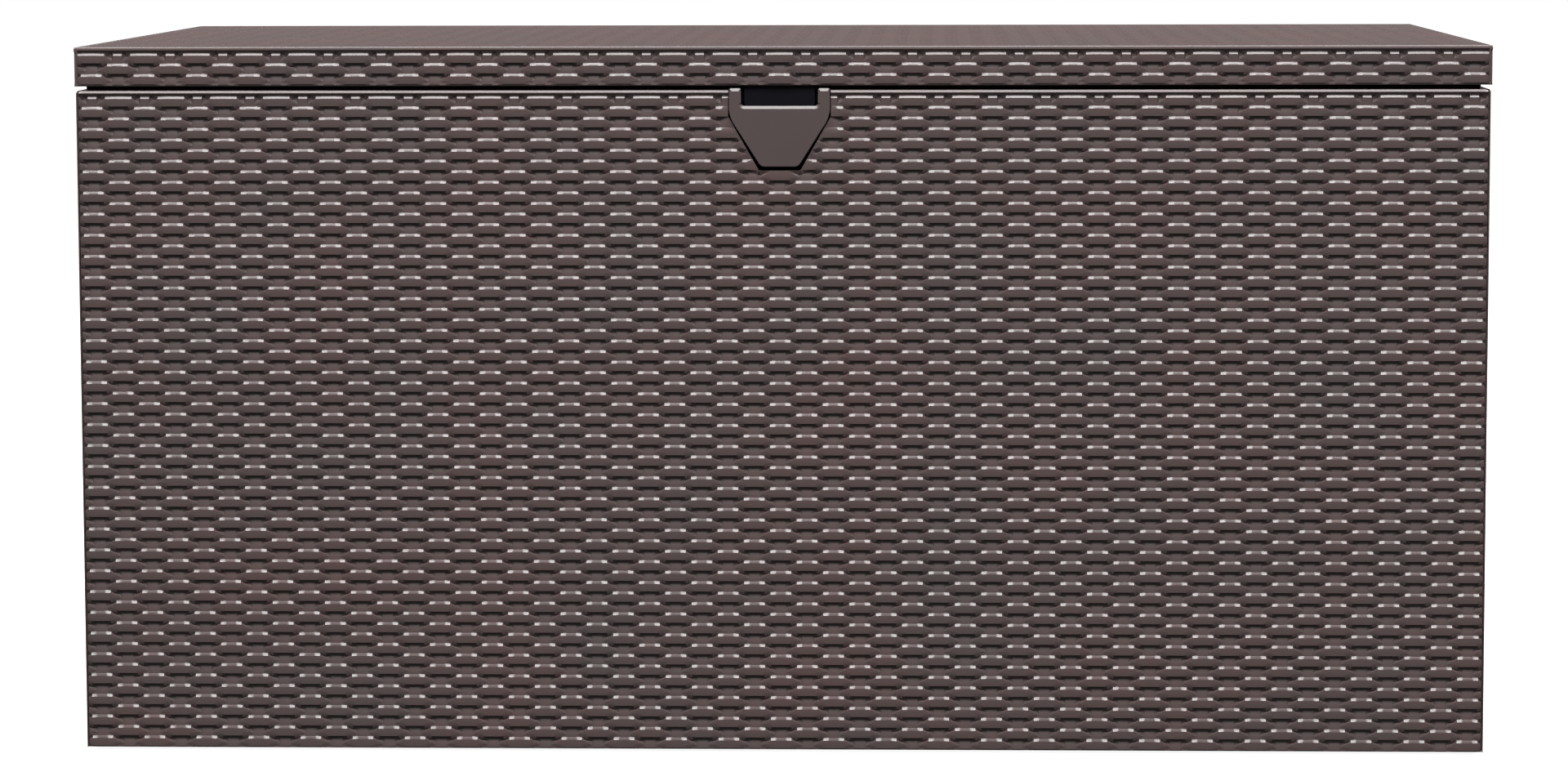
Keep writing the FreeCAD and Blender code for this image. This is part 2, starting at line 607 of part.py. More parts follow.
def stay_track():
    """The slotted plate under the lid; its straight slot points at the hinge axis."""
    hinge = FreeCAD.Vector(TRACK_INNER_X, HINGE_Y, HINGE_Z)
    near = SLIDE_OPEN - SLOT_END_CLEAR
    far = SLIDE_FAR + SLOT_END_CLEAR
    low_near = hinge + SLOT_DIRECTION * (near - TRACK_MARGIN) + SLOT_DOWN * TRACK_MARGIN
    low_far = hinge + SLOT_DIRECTION * (far + TRACK_MARGIN) + SLOT_DOWN * TRACK_MARGIN
    top_near = FreeCAD.Vector(TRACK_INNER_X, low_near.y + TRACK_MARGIN, LINER_UNDER)
    top_far = FreeCAD.Vector(TRACK_INNER_X, low_far.y - TRACK_MARGIN, LINER_UNDER)
    plate = outline([low_near, low_far, top_far, top_near]).extrude(FreeCAD.Vector(STAY_THICK, 0, 0))
    flange = block(TRACK_OUTER_X - TRACK_FLANGE, TRACK_OUTER_X, top_far.y, top_near.y,
                   LINER_UNDER - STAY_THICK, LINER_UNDER)
    half_slot = STAY_PIN_RADIUS + SLOT_CLEAR
    slot = Part.makeBox(STAY_THICK + 2, far - near, 2 * half_slot, FreeCAD.Vector(-1, 0, -half_slot))
    slot.rotate(FreeCAD.Vector(), FreeCAD.Vector(1, 0, 0), 180 + SLOT_ANGLE)
    slot.translate(hinge + SLOT_DIRECTION * near)
    ends = [rod(half_slot, hinge + SLOT_DIRECTION * along - FreeCAD.Vector(1, 0, 0),
                hinge + SLOT_DIRECTION * along + FreeCAD.Vector(STAY_THICK + 1, 0, 0)) for along in (near, far)]
    holes = [track_screw(y, False) for y in track_screw_places()]
    return minus(fused([plate, flange]), [slot] + ends + holes)


# ---- everything ---------------------------------------------------------------------------------
def main():
    os.makedirs("parts", exist_ok=True)
    export("floor_panel", floor_panel())
    export("foot_pads", foot_pads())
    export("front_panel", front_panel())
    export("back_panel", back_panel())
    export("neck_frame", neck_frame())
    export("post_screws", post_screws())
    export("grip_plate", grip_plate())
    export("latch_housing", latch_housing())
    export("latch_screws", Part.makeCompound([latch_screw(place) for place in latch_screw_places()]))
    export("latch_tongue", latch_tongue())
    export("tongue_screws", Part.makeCompound(
        [screw(at, (0, 0, 1), LINER_THICK + SCREW_BITE) for at in tongue_screw_axes()]))
    export("lid_shell", lid_shell())
    export("lid_liner", lid_liner())
    export("liner_screws", Part.makeCompound(liner_screws()))
    export("lid_bumpers", lid_bumpers())
    for name, y in bar_places().items():
        export("lid_bar_" + name, lid_bar(y))
    for name, x in HINGES.items():
        export("hinge_body_leaf_" + name, hinge_body_leaf(x))
        export("hinge_lid_leaf_" + name, hinge_lid_leaf(x))
        export("hinge_pin_" + name, hinge_pin(x))
    export("hinge_body_screws", Part.makeCompound(hinge_body_screws()))
    export("hinge_lid_screws", Part.makeCompound(hinge_lid_screws()))
    wall_screws = [stay_wall_screw(place) for place in stay_screw_places()]
    track_screws = [track_screw(y) for y in track_screw_places()]
    for name, side in SIDES.items():
        export("side_panel_" + name, on_side(side_panel(), side))
        for end_name, end in (("front", -1), ("back", 1)):
            export("corner_post_" + end_name + "_" + name, corner_post(side, end))
        export("stay_wall_bracket_" + name, on_side(stay_wall_bracket(), side))
        export("stay_pivot_pin_" + name, on_side(stay_pivot_pin(), side))
        export("stay_arm_" + name, on_side(stay_arm(), side))
        export("stay_slide_pin_" + name, on_side(stay_slide_pin(), side))
        export("stay_track_" + name, on_side(stay_track(), side))
        export("stay_wall_screws_" + name, on_side(Part.makeCompound(wall_screws), side))
        export("stay_track_screws_" + name, on_side(Part.makeCompound(track_screws), side))


main()
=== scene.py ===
import json
import math

import bmesh
import bpy
import numpy as np
from mathutils import Euler, Matrix, Vector


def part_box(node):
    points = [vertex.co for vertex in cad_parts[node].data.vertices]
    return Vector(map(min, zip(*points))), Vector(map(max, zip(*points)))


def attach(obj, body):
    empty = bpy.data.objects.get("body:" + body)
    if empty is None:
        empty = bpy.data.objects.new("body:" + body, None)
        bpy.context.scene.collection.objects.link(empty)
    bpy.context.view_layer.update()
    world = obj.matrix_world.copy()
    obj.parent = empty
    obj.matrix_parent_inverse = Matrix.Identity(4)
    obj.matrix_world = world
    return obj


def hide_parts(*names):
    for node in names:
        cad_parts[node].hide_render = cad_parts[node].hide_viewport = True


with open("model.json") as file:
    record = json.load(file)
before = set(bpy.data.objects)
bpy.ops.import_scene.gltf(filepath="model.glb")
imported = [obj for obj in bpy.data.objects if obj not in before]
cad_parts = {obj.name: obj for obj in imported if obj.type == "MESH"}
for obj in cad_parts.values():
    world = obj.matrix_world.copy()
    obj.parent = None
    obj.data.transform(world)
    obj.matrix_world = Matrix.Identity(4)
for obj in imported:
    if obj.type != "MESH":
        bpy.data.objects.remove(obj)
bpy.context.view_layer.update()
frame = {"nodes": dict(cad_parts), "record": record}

bl_info = {
    "name": "Wicker-look deck storage box",
    "version": (1, 0, 0),
    "blender": (4, 5, 0),
    "location": "3D View > Sidebar > Deck Box",
    "description": "Builds the woven skins, finishes and stage of a deck storage box around its solid frame",
    "category": "Object",
}

MM = 0.001

# ---- places read from the frame -----------------------------------------------------------------
LID_LOW, LID_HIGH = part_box("lid_shell")
FRONT_LOW, FRONT_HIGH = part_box("front_panel")
BACK_LOW, BACK_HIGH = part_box("back_panel")
SIDE_LOW, SIDE_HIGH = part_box("side_panel_right")
PLATE_LOW, PLATE_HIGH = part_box("grip_plate")
FLOOR_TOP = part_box("floor_panel")[1].z
RIB_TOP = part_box("corner_post_front_right")[1].z
UP = Vector((0, 0, 1))
RIGHT = Vector((1, 0, 0))
BACK = Vector((0, 1, 0))

# ---- sizes shared with the frame, which its boxes don't show ------------------------------------------
WALL_SKIN = 4 * MM
LID_SKIN = 3 * MM
FLANGE = 4 * MM               # thickness of a wall's level ledges
BOTTOM_LEDGE_RISE = 7 * MM    # underside of the lower ledge above the wall's lower edge
RIB_DEPTH = 12 * MM
RIB_THICK = 3 * MM
RIB_PITCH = 97 * MM
RIB_FROM_CORNER = 45 * MM
POCKET_HALF_WIDTH = 54 * MM   # the front wall has no rib nearer to the middle
OPENING_HALF_WIDTH = 49 * MM  # nor an upper ledge nearer than this
PLATE_HALF_FOOT = 17 * MM
PLATE_SIDE = 25.5 * MM        # the plate's straight side
NOTCH_HALF_WIDTH = 35 * MM
NOTCH_DEPTH = 16.1 * MM


# ---- sizes and colours a user would change --------------------------------------------------------
class WeaveSettings(bpy.types.PropertyGroup):
    """Sizes of the moulded weave."""
    column_pitch: bpy.props.FloatProperty(
        name="Column pitch", description="Distance between two upright stakes", default=24.2 * MM,
        unit="LENGTH")
    strand_pitch: bpy.props.FloatProperty(
        name="Strand pitch", description="Distance between two level strands", default=9.706 * MM,
        unit="LENGTH")
    relief: bpy.props.FloatProperty(
        name="Relief", description="Depth of the pits beside the stakes on the walls", default=3.2 * MM,
        unit="LENGTH")
    lid_relief: bpy.props.FloatProperty(
        name="Lid relief", description="Depth of the weave on the lid's top", default=1.6 * MM, unit="LENGTH")
    wall_margin: bpy.props.FloatProperty(
        name="Wall margin", description="Plain strip at a wall's upright edges", default=1.2 * MM,
        unit="LENGTH")
    lid_margin: bpy.props.FloatProperty(
        name="Lid margin", description="Plain strip at a lid corner", default=5.0 * MM, unit="LENGTH")
    long_columns: bpy.props.IntProperty(
        name="Columns", description="Upright stakes along the front and the back", default=53, min=1)


class FinishSettings(bpy.types.PropertyGroup):
    """Colours of the box."""
    resin: bpy.props.FloatVectorProperty(
        name="Resin", description="Colour of the woven resin", size=4, subtype="COLOR",
        default=(0.086, 0.063, 0.061, 1.0), min=0, max=1)
    plate: bpy.props.FloatVectorProperty(
        name="Plate", description="Colour of the smooth finger plate", size=4, subtype="COLOR",
        default=(0.080, 0.059, 0.058, 1.0), min=0, max=1)
    # Near-black with a blue tint: painted shade for the neck, pocket and tongue in the recess behind the
    # plate, with a painted blue sky reflection.
    recess_shade: bpy.props.FloatVectorProperty(
        name="Dark resin", description="Colour of neck, pocket and tongue", size=4, subtype="COLOR",
        default=(0.003, 0.003, 0.0055, 1.0), min=0, max=1)
    inner: bpy.props.FloatVectorProperty(
        name="Inner resin", description="Colour of the plain inside", size=4, subtype="COLOR",
        default=(0.075, 0.058, 0.054, 1.0), min=0, max=1)


class StageSettings(bpy.types.PropertyGroup):
    """Light, floor and camera."""
    key: bpy.props.FloatProperty(
        name="Key light", description="Power of the soft box high in front", default=1690.0, min=0,
        unit="POWER")
    corners: bpy.props.FloatProperty(
        name="Corner lights", description="Power of the soft box off each back corner", default=125.0, min=0,
        unit="POWER")
    sky: bpy.props.FloatProperty(
        name="Surroundings", description="Brightness of the room's own light", default=0.18, min=0)
    lens: bpy.props.FloatProperty(
        name="Lens", description="Focal length in millimetres", default=100.08, min=1)
    camera_place: bpy.props.FloatVectorProperty(
        name="Camera", description="Where the camera stands", size=3, subtype="TRANSLATION",
        default=(0.1429, -4.3105, 0.7812))
    camera_yaw: bpy.props.FloatProperty(
        name="Yaw", description="Turn to the left", subtype="ANGLE", default=math.radians(2.013))
    camera_tilt: bpy.props.FloatProperty(
        name="Tilt", description="Tilt downwards", subtype="ANGLE", default=math.radians(5.374))
    camera_roll: bpy.props.FloatProperty(
        name="Roll", description="Turn about the line of sight", subtype="ANGLE",
        default=math.radians(-0.159))
    camera_shift: bpy.props.FloatProperty(
        name="Shift", description="Lens shift, as a share of the width", default=-0.05)


# ---- the weave -------------------------------------------------------------------------------------
# Each entry: distance from a stake's middle, in column pitches. Its four points go down one strand pitch:
# place down the pitch, and depth below the outermost surface as a share of the relief.
STRAND_OVER = {
    0.16: ((-0.07, 0.32), (0.16, 0.02), (0.50, 0.00), (0.87, 0.10)),
    0.23: ((-0.07, 0.52), (0.16, 0.03), (0.50, 0.01), (0.87, 0.11)),
    0.39: ((-0.05, 0.54), (0.17, 0.06), (0.50, 0.04), (0.87, 0.13)),
    0.50: ((0.20, 0.85), (0.29, 0.24), (0.55, 0.20), (0.80, 0.30)),
}
STRAND_UNDER = {
    0.16: ((-0.04, 0.95), (0.36, 0.66), (0.62, 0.42), (0.92, 0.38)),
    0.23: ((0.00, 1.00), (0.38, 0.88), (0.64, 0.60), (0.90, 0.58)),
    0.39: ((0.28, 0.95), (0.40, 0.48), (0.60, 0.40), (0.76, 0.56)),
    0.50: STRAND_OVER[0.50],
}
# The top strand's own profiles, over a stake's top and where two columns meet.
FIRST_STAKE = ((-0.02, 0.62), (0.16, 0.30), (0.60, 0.34), (0.92, 0.34))
FIRST_BOUNDARY = ((-0.07, 0.62), (0.17, 0.16), (0.55, 0.20), (0.80, 0.30))
STATIONS = (-0.39, -0.23, -0.16, 0.16, 0.23, 0.39, 0.5)
ALL_POINTS = (0, 1, 2, 3)
# The "depth" attribute sets how much painted shade darkens the woven resin; these are its values on plain
# lines and plain margins.
PLAIN_SHADE, MARGIN_SHADE = 0.2, 0.3   # the "depth" attribute of plain lines and of plain margins


class Side:
    """A flat side of the box: a corner seen from outside at lower left, the way across and the way up."""

    def __init__(self, corner, across, up, width, height):
        self.corner, self.across, self.up = Vector(corner), Vector(across), Vector(up)
        self.out = self.across.cross(self.up)
        self.width, self.height = width, height


def station_lines(side, pitch, columns, edge):
    """Upright grid lines: place across, nearest tabled distance, column, and the depth where it is plain."""
    start = (side.width - columns * pitch) / 2
    lines = [(0.0, 0.5, 0, edge[0]), (start * edge[2], 0.5, 0, edge[1]), (start, 0.5, 0, None)]
    for column in range(columns):
        middle = start + (column + 0.5) * pitch
        lines += [(middle + offset * pitch, abs(offset), column, None) for offset in STATIONS]
    last = columns - 1
    return lines + [(side.width - start * edge[2], 0.5, last, edge[1]), (side.width, 0.5, last, edge[0])]


def first_row(over, distance, profile):
    """The top strand's own profile: a ledge as long as the strand shows, and rounded stake tops."""
    if distance == 0.50:
        return FIRST_BOUNDARY
    if distance == 0.16:
        return STRAND_OVER[0.23] if over else FIRST_STAKE
    return profile


def woven_grid(side, pitch, strand_pitch, relief, columns, rows, first, above, below, edge, phase=0,
               points=ALL_POINTS):
    """A bmesh grid moved into the shape of a plain weave. first is the drop from the side's top edge to the
    first strand; above and below list (drop, depth) of plain lines; edge is (depth at the edge, depth of
    the next line, its place as a share of the margin); points are the strand points that are used."""
    stations = station_lines(side, pitch, columns, edge)
    levels = [(None, drop, low) for drop, low in below[::-1]]
    levels += [(row, point, None) for row in reversed(range(rows)) for point in reversed(points)]
    levels += [(None, drop, low) for drop, low in above[::-1]]
    across = np.array([line[0] for line in stations])
    drop = np.zeros((len(levels), len(stations)))
    depth, shade = np.zeros_like(drop), np.zeros_like(drop)
    for j, (row, place, low) in enumerate(levels):
        if row is None:
            drop[j, :], depth[j, :] = place, low
            shade[j, :] = PLAIN_SHADE
            continue
        for i, (_, distance, column, plain) in enumerate(stations):
            over = (row + column + phase) % 2 == 0
            table = STRAND_OVER if over else STRAND_UNDER
            profile = table[distance]
            if row == 0:
                profile = first_row(over, distance, profile)
            down, share = profile[place]
            drop[j, i] = first + (row + down) * strand_pitch
            depth[j, i] = share * relief if plain is None else plain
            shade[j, i] = share if plain is None else MARGIN_SHADE
    bm = bmesh.new()
    bmesh.ops.create_grid(bm, x_segments=len(stations) - 1, y_segments=len(levels) - 1, size=1.0)
    corner, u, v, w = (np.array(x) for x in (side.corner, side.across, side.up, side.out))
    places = (corner + u * across[None, :, None] + v * (side.height - drop)[:, :, None]
              - w * depth[:, :, None]).reshape(-1, 3)
    # The "depth" attribute holds each point's depth share, which the woven resin turns into painted shade in
    # the pits.
    layer = bm.verts.layers.float.new("depth")
    for vert, place, low in zip(bm.verts, places.tolist(), shade.ravel().tolist()):
        vert.co = place
        vert[layer] = low
    return bm


def round_top_corners(bm, side, radius):
    """Rounds a sheet's two upper corners."""
    for vert in bm.verts:
        place = vert.co - side.corner
        along, high = place.dot(side.across), place.dot(side.up)
        right = along > side.width / 2
        in_x = radius - (side.width - along if right else along)
        in_z = radius - (side.height - high)
        reach = math.hypot(in_x, in_z)
        if in_x > 0 and in_z > 0 and reach > radius:
            pull = 1 - radius / reach
            vert.co += side.across * (in_x * pull * (-1 if right else 1)) - side.up * (in_z * pull)


def close_back(bm, side, thickness):
    """Walls a sheet's open edges back to a flat inner face and fills that face."""
    border = [edge for edge in bm.edges if edge.is_boundary]
    grown = bmesh.ops.extrude_edge_only(bm, edges=border)["geom"]
    plane = side.corner - side.out * thickness
    new = [item for item in grown if isinstance(item, bmesh.types.BMVert)]
    for vert in new:
        vert.co -= side.out * (vert.co - plane).dot(side.out)
    rim = [item for item in grown if isinstance(item, bmesh.types.BMEdge) and item.is_boundary]
    bmesh.ops.triangle_fill(bm, edges=rim, use_beauty=True)
    # The inner face gets the plain margins' value of the "depth" attribute, which sets the resin's painted
    # shade.
    layer = bm.verts.layers.float.get("depth")
    for vert in new:
        vert[layer] = MARGIN_SHADE


def add_block(bm, low, high, bevel=0.0):
    """A box between two corners, its edges rounded if bevel is given."""
    made = bmesh.ops.create_cube(bm, size=1.0)["verts"]
    low, high = Vector(low), Vector(high)
    bmesh.ops.scale(bm, vec=high - low, verts=made)
    bmesh.ops.translate(bm, vec=(low + high) / 2, verts=made)
    if bevel:
        edges = list({edge for vert in made for edge in vert.link_edges})
        bmesh.ops.bevel(bm, geom=edges, offset=bevel, segments=2, profile=0.5, affect="EDGES", material=-1)


def add_object(name, bm, finish):
    """An object made of a bmesh."""
    mesh = bpy.data.meshes.new(name)
    bm.to_mesh(mesh)
    bm.free()
    obj = bpy.data.objects.new(name, mesh)
    bpy.context.scene.collection.objects.link(obj)
    mesh.materials.append(finish)
    return obj


def piece(name, bm, body, finish, replaces=(), crease=20):
    """Turns a bmesh into a finished piece that rides on a body; edges over crease degrees stay crisp."""
    bmesh.ops.recalc_face_normals(bm, faces=bm.faces)
    bmesh.ops.triangulate(bm, faces=bm.faces, quad_method="SHORT_EDGE")
    obj = add_object(name, bm, material(finish))
    obj.data.shade_smooth()
    obj.data.set_sharp_from_angle(angle=math.radians(crease))
    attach(obj, body)
    if replaces:
        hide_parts(*replaces)


# ---- material maths ----------------------------------------------------------------------------------
class Value:
    """A number that varies over a surface; arithmetic on it adds Math nodes."""

    def __init__(self, book, socket):
        self.book, self.socket = book, socket

    def maths(self, operation, *others, clamp=False):
        node = self.book.node("ShaderNodeMath", {"operation": operation, "use_clamp": clamp},
                              {i: item for i, item in enumerate((self,) + others)})
        return Value(self.book, node.outputs[0])

    def __add__(self, other):
        return self.maths("ADD", other)

    def __sub__(self, other):
        return self.maths("SUBTRACT", other)

    def __mul__(self, other):
        return self.maths("MULTIPLY", other)

    def __rsub__(self, other):
        flipped = self.maths("MULTIPLY", -1.0)
        return flipped.maths("ADD", other)

    __radd__ = __add__
    __rmul__ = __mul__

    def clamped(self):
        return self.maths("ADD", 0.0, clamp=True)


class Book:
    """A material and its node tree."""

    def __init__(self, name):
        self.material = bpy.data.materials.new("finish_" + name)
        self.material.use_nodes = True
        self.tree = self.material.node_tree
        self.tree.nodes.clear()
        self.shader = self.node("ShaderNodeBsdfPrincipled")
        self.node("ShaderNodeOutputMaterial", {}, {"Surface": self.shader.outputs[0]})
        self.place = self.node("ShaderNodeTexCoord").outputs["Object"]

    def node(self, kind, settings=None, inputs=None):
        made = self.tree.nodes.new(kind)
        for key, value in (settings or {}).items():
            setattr(made, key, value)
        for key, value in (inputs or {}).items():
            self.set(made.inputs[key], value)
        return made

    def set(self, socket, value):
        if isinstance(value, Value):
            value = value.socket
        if isinstance(value, bpy.types.NodeSocket):
            self.tree.links.new(value, socket)
        else:
            socket.default_value = value

    def surface(self, **values):
        for key, value in values.items():
            self.set(self.shader.inputs[key.replace("_", " ")], value)

    def noise(self, scale, detail=2.0, stretch=(1, 1, 1), rough=0.5):
        spread = self.node("ShaderNodeMapping", {}, {"Vector": self.place, "Scale": stretch})
        made = self.node("ShaderNodeTexNoise", {}, {"Vector": spread.outputs[0], "Scale": scale,
                                                    "Detail": detail, "Roughness": rough})
        return Value(self, made.outputs["Fac"])

    def attribute(self, name):
        return Value(self, self.node("ShaderNodeAttribute", {"attribute_name": name}).outputs["Fac"])

    def blend(self, factor, a, b):
        # inputs 6 and 7 are the two colours of a colour mix, and output 2 is the mixed colour
        made = self.node("ShaderNodeMix", {"data_type": "RGBA"}, {"Factor": factor, 6: a, 7: b})
        return made.outputs[2]

    def bump(self, height, strength, distance):
        made = self.node("ShaderNodeBump", {},
                         {"Height": height, "Strength": strength, "Distance": distance})
        self.surface(Normal=made.outputs[0])


def tint(colour, factor):
    return tuple(channel * factor for channel in colour[:3]) + (1.0,)


def woven_resin():
    """Satin moulded resin: painted shade darkens the pits, which are also duller, faint streaks along the
    strands, a fine grain.
    """
    book = Book("woven_resin")
    colour = tuple(bpy.context.scene.box_finish.resin)
    depth = book.attribute("depth")
    cloud = book.noise(9.0, 3.0)
    streak = book.noise(60.0, 2.0, (1.0, 1.0, 9.0))
    warm = tuple(channel * factor for channel, factor in zip(colour, (1.12, 0.97, 0.95, 1.0)))
    cool = tuple(channel * factor for channel, factor in zip(colour, (0.90, 1.0, 1.02, 1.0)))
    tone = book.blend((cloud * 1.6 - 0.3 + (streak - 0.5) * 0.8).clamped(), cool, warm)
    # Painted shade: the base colour darkens towards a third of the resin's colour in the deeper pits, by the
    # "depth" attribute; the pits are also rougher.
    painted_pit_shade = (depth * 1.25 - 0.35).clamped()
    book.surface(Base_Color=book.blend(painted_pit_shade * 0.55, tone, tint(colour, 0.35)),
                 Roughness=(0.26 + painted_pit_shade * 0.3 + (streak - 0.5) * 0.12).clamped(),
                 Specular_IOR_Level=0.5)
    grain = book.noise(1400.0, 2.0)
    book.bump(grain + streak * 0.6, 0.3, 0.00003)
    return book.material


def plain_resin(name, colour, roughness, grain=1800.0, strength=0.2, gloss=0.5):
    """Moulded resin with a fine spark-eroded grain."""
    book = Book(name)
    cloud = book.noise(14.0, 3.0)
    fine = book.noise(grain, 3.0)
    book.surface(Base_Color=book.blend(cloud, tint(colour, 0.92), tint(colour, 1.08)),
                 Roughness=(roughness + (fine - 0.5) * 0.15).clamped(), Specular_IOR_Level=gloss)
    book.bump(fine, strength, 0.00004)
    return book.material


def steel(name, colour, roughness, metallic):
    """Brushed steel, bare or coated."""
    book = Book(name)
    brushed = book.noise(220.0, 3.0, (1.0, 12.0, 1.0))
    patch = book.noise(25.0, 3.0)
    book.surface(Base_Color=book.blend(patch, tint(colour, 0.85), tint(colour, 1.1)), Metallic=metallic,
                 Roughness=(roughness + (brushed - 0.5) * 0.2).clamped())
    book.bump(brushed, 0.1, 0.00004)
    return book.material


def rubber():
    """Dull black rubber."""
    book = Book("rubber")
    fine = book.noise(900.0, 3.0)
    book.surface(Base_Color=book.blend(fine, (0.012, 0.012, 0.012, 1), (0.022, 0.022, 0.021, 1)),
                 Roughness=(0.75 + (fine - 0.5) * 0.2).clamped())
    book.bump(fine, 0.3, 0.0001)
    return book.material


def material(name):
    """The finish of that name, made the first time it is asked for."""
    found = bpy.data.materials.get("finish_" + name)
    if found:
        return found
    finish = bpy.context.scene.box_finish
    makers = {
        "woven_resin": woven_resin,
        "smooth_resin": lambda: plain_resin("smooth_resin", tuple(finish.plate), 0.34),
        "inner_resin": lambda: plain_resin("inner_resin", tuple(finish.inner), 0.5),
        # The dark resin is painted shade with a painted blue sky reflection.
        "dark_resin": lambda: plain_resin("dark_resin", tuple(finish.recess_shade), 0.6, gloss=0.1),
        "zinc_steel": lambda: steel("zinc_steel", (0.55, 0.55, 0.56), 0.35, 1.0),
        "coated_steel": lambda: steel("coated_steel", (0.03, 0.026, 0.025), 0.45, 0.0),
        "rubber": rubber,
    }
    return makers[name]()


# ---- operators --------------------------------------------------------------------------------------
WALL_ABOVE = ((0.0, 1.8 * MM), (0.4 * MM, 0.97 * MM), (2.1 * MM, 0.15 * MM), (2.8 * MM, 0.15 * MM),
              (3.5 * MM, 1.3 * MM))
WALL_FIRST = 5.8 * MM
WALL_ROWS = 62
WALL_EDGE = (1.5 * MM, 0.5 * MM, 0.6)
WALL_CORNER = 4 * MM
SEAM = 1.7 * MM               # width of the strip at a corner of the box that shows the side wall's edge
SHIELD_GAPS = (0.8 * MM, 1.9 * MM, 3.6 * MM)   # beside, on the slope and below the finger plate
SHIELD_FADE = (0.5 * MM, 4.5 * MM)             # the weave rises to its full depth between these distances


def columns_for(width, pitch, margin):
    """How many whole columns fit between two margins."""
    return int((width - 2 * margin) / pitch)


def wall_grid(side, pitch, columns, phase):
    """The woven sheet of a wall."""
    weave = bpy.context.scene.box_weave
    last = WALL_FIRST + WALL_ROWS * weave.strand_pitch
    below = ((side.height - 0.1 * MM, 2.0 * MM), (side.height, 2.6 * MM))
    if last > side.height - 0.2 * MM:
        raise ValueError("the strands don't fit the wall's height")
    return woven_grid(side, pitch, weave.strand_pitch, weave.relief, columns, WALL_ROWS, WALL_FIRST,
                      WALL_ABOVE, below, WALL_EDGE, phase)


def shield_lines(gap_side, gap_slope, gap_foot):
    """Half-planes whose inside is the finger plate's outline grown by its gaps: (point, outward normal)."""
    half = PLATE_HIGH.x + gap_side
    foot = PLATE_HALF_FOOT + gap_slope
    shoulder = PLATE_HIGH.z - PLATE_SIDE
    bottom = PLATE_LOW.z - gap_foot
    slope = Vector((shoulder - bottom, 0, -(half - foot))).normalized()
    return [(Vector((half, 0, shoulder)), RIGHT), (Vector((-half, 0, shoulder)), -RIGHT),
            (Vector((0, 0, bottom)), -UP), (Vector((half, 0, shoulder)), slope),
            (Vector((-half, 0, shoulder)), Vector((-slope.x, 0, slope.z)))]


def outside_shield(point, lines):
    """How far a point lies outside the outline; negative inside."""
    return max((point - co).dot(no) for co, no in lines)


def cut_shield(bm):
    """Flattens the weave round the finger plate and cuts the opening for it."""
    lines = shield_lines(*SHIELD_GAPS)
    flat_until, full_from = SHIELD_FADE
    flat = FRONT_LOW.y + 0.5 * MM
    layer = bm.verts.layers.float.get("depth")
    top_of_weave = FRONT_HIGH.z - WALL_FIRST
    reach = 12 * MM
    for vert in bm.verts:
        beside = abs(vert.co.x) > PLATE_HIGH.x + reach
        if beside or vert.co.z < PLATE_LOW.z - reach or vert.co.z > top_of_weave:
            continue
        away = outside_shield(vert.co, lines)
        if away < full_from:
            keep = min(max((away - flat_until) / (full_from - flat_until), 0.0), 1.0)
            keep = keep * keep * (3 - 2 * keep)
            vert.co.y = flat + (vert.co.y - flat) * keep
            # The painted pit shade carried by the "depth" attribute fades with the weave near the plate.
            vert[layer] = 0.15 + (vert[layer] - 0.15) * keep
    for co, no in lines:
        near = [face for face in bm.faces if outside_shield(face.calc_center_median(), lines) < 15 * MM]
        geom = near + list({e for f in near for e in f.edges}) + list({v for f in near for v in f.verts})
        bmesh.ops.bisect_plane(bm, geom=geom, plane_co=co, plane_no=no, dist=1e-6)
    gone = [face for face in bm.faces if outside_shield(face.calc_center_median(), lines) < 0]
    bmesh.ops.delete(bm, geom=gone, context="FACES")


def add_long_ribs(bm, inner_y, inward):
    """The upright ribs and the lower ledge inside the front or back wall."""
    half = SIDE_LOW.x + RIB_DEPTH
    near, far = sorted((inner_y, inner_y + inward * RIB_DEPTH))
    for edge in rib_places(-half, half, inward > 0):
        add_block(bm, (edge, near, FLOOR_TOP), (edge + RIB_THICK, far, RIB_TOP), 0.6 * MM)
    add_block(bm, (-half, near, FRONT_LOW.z + BOTTOM_LEDGE_RISE), (half, far, FLOOR_TOP - FLANGE))


def rib_places(low, high, skip_middle):
    """The walls' rib places, as in the solid frame."""
    low, high = low + RIB_FROM_CORNER, high - RIB_FROM_CORNER - RIB_THICK
    count = int((high - low) / RIB_PITCH) + 2
    places = [low + (high - low) * i / (count - 1) for i in range(count)]
    if skip_middle:
        places = [x for x in places if x + RIB_THICK < -POCKET_HALF_WIDTH or x > POCKET_HALF_WIDTH]
    return places


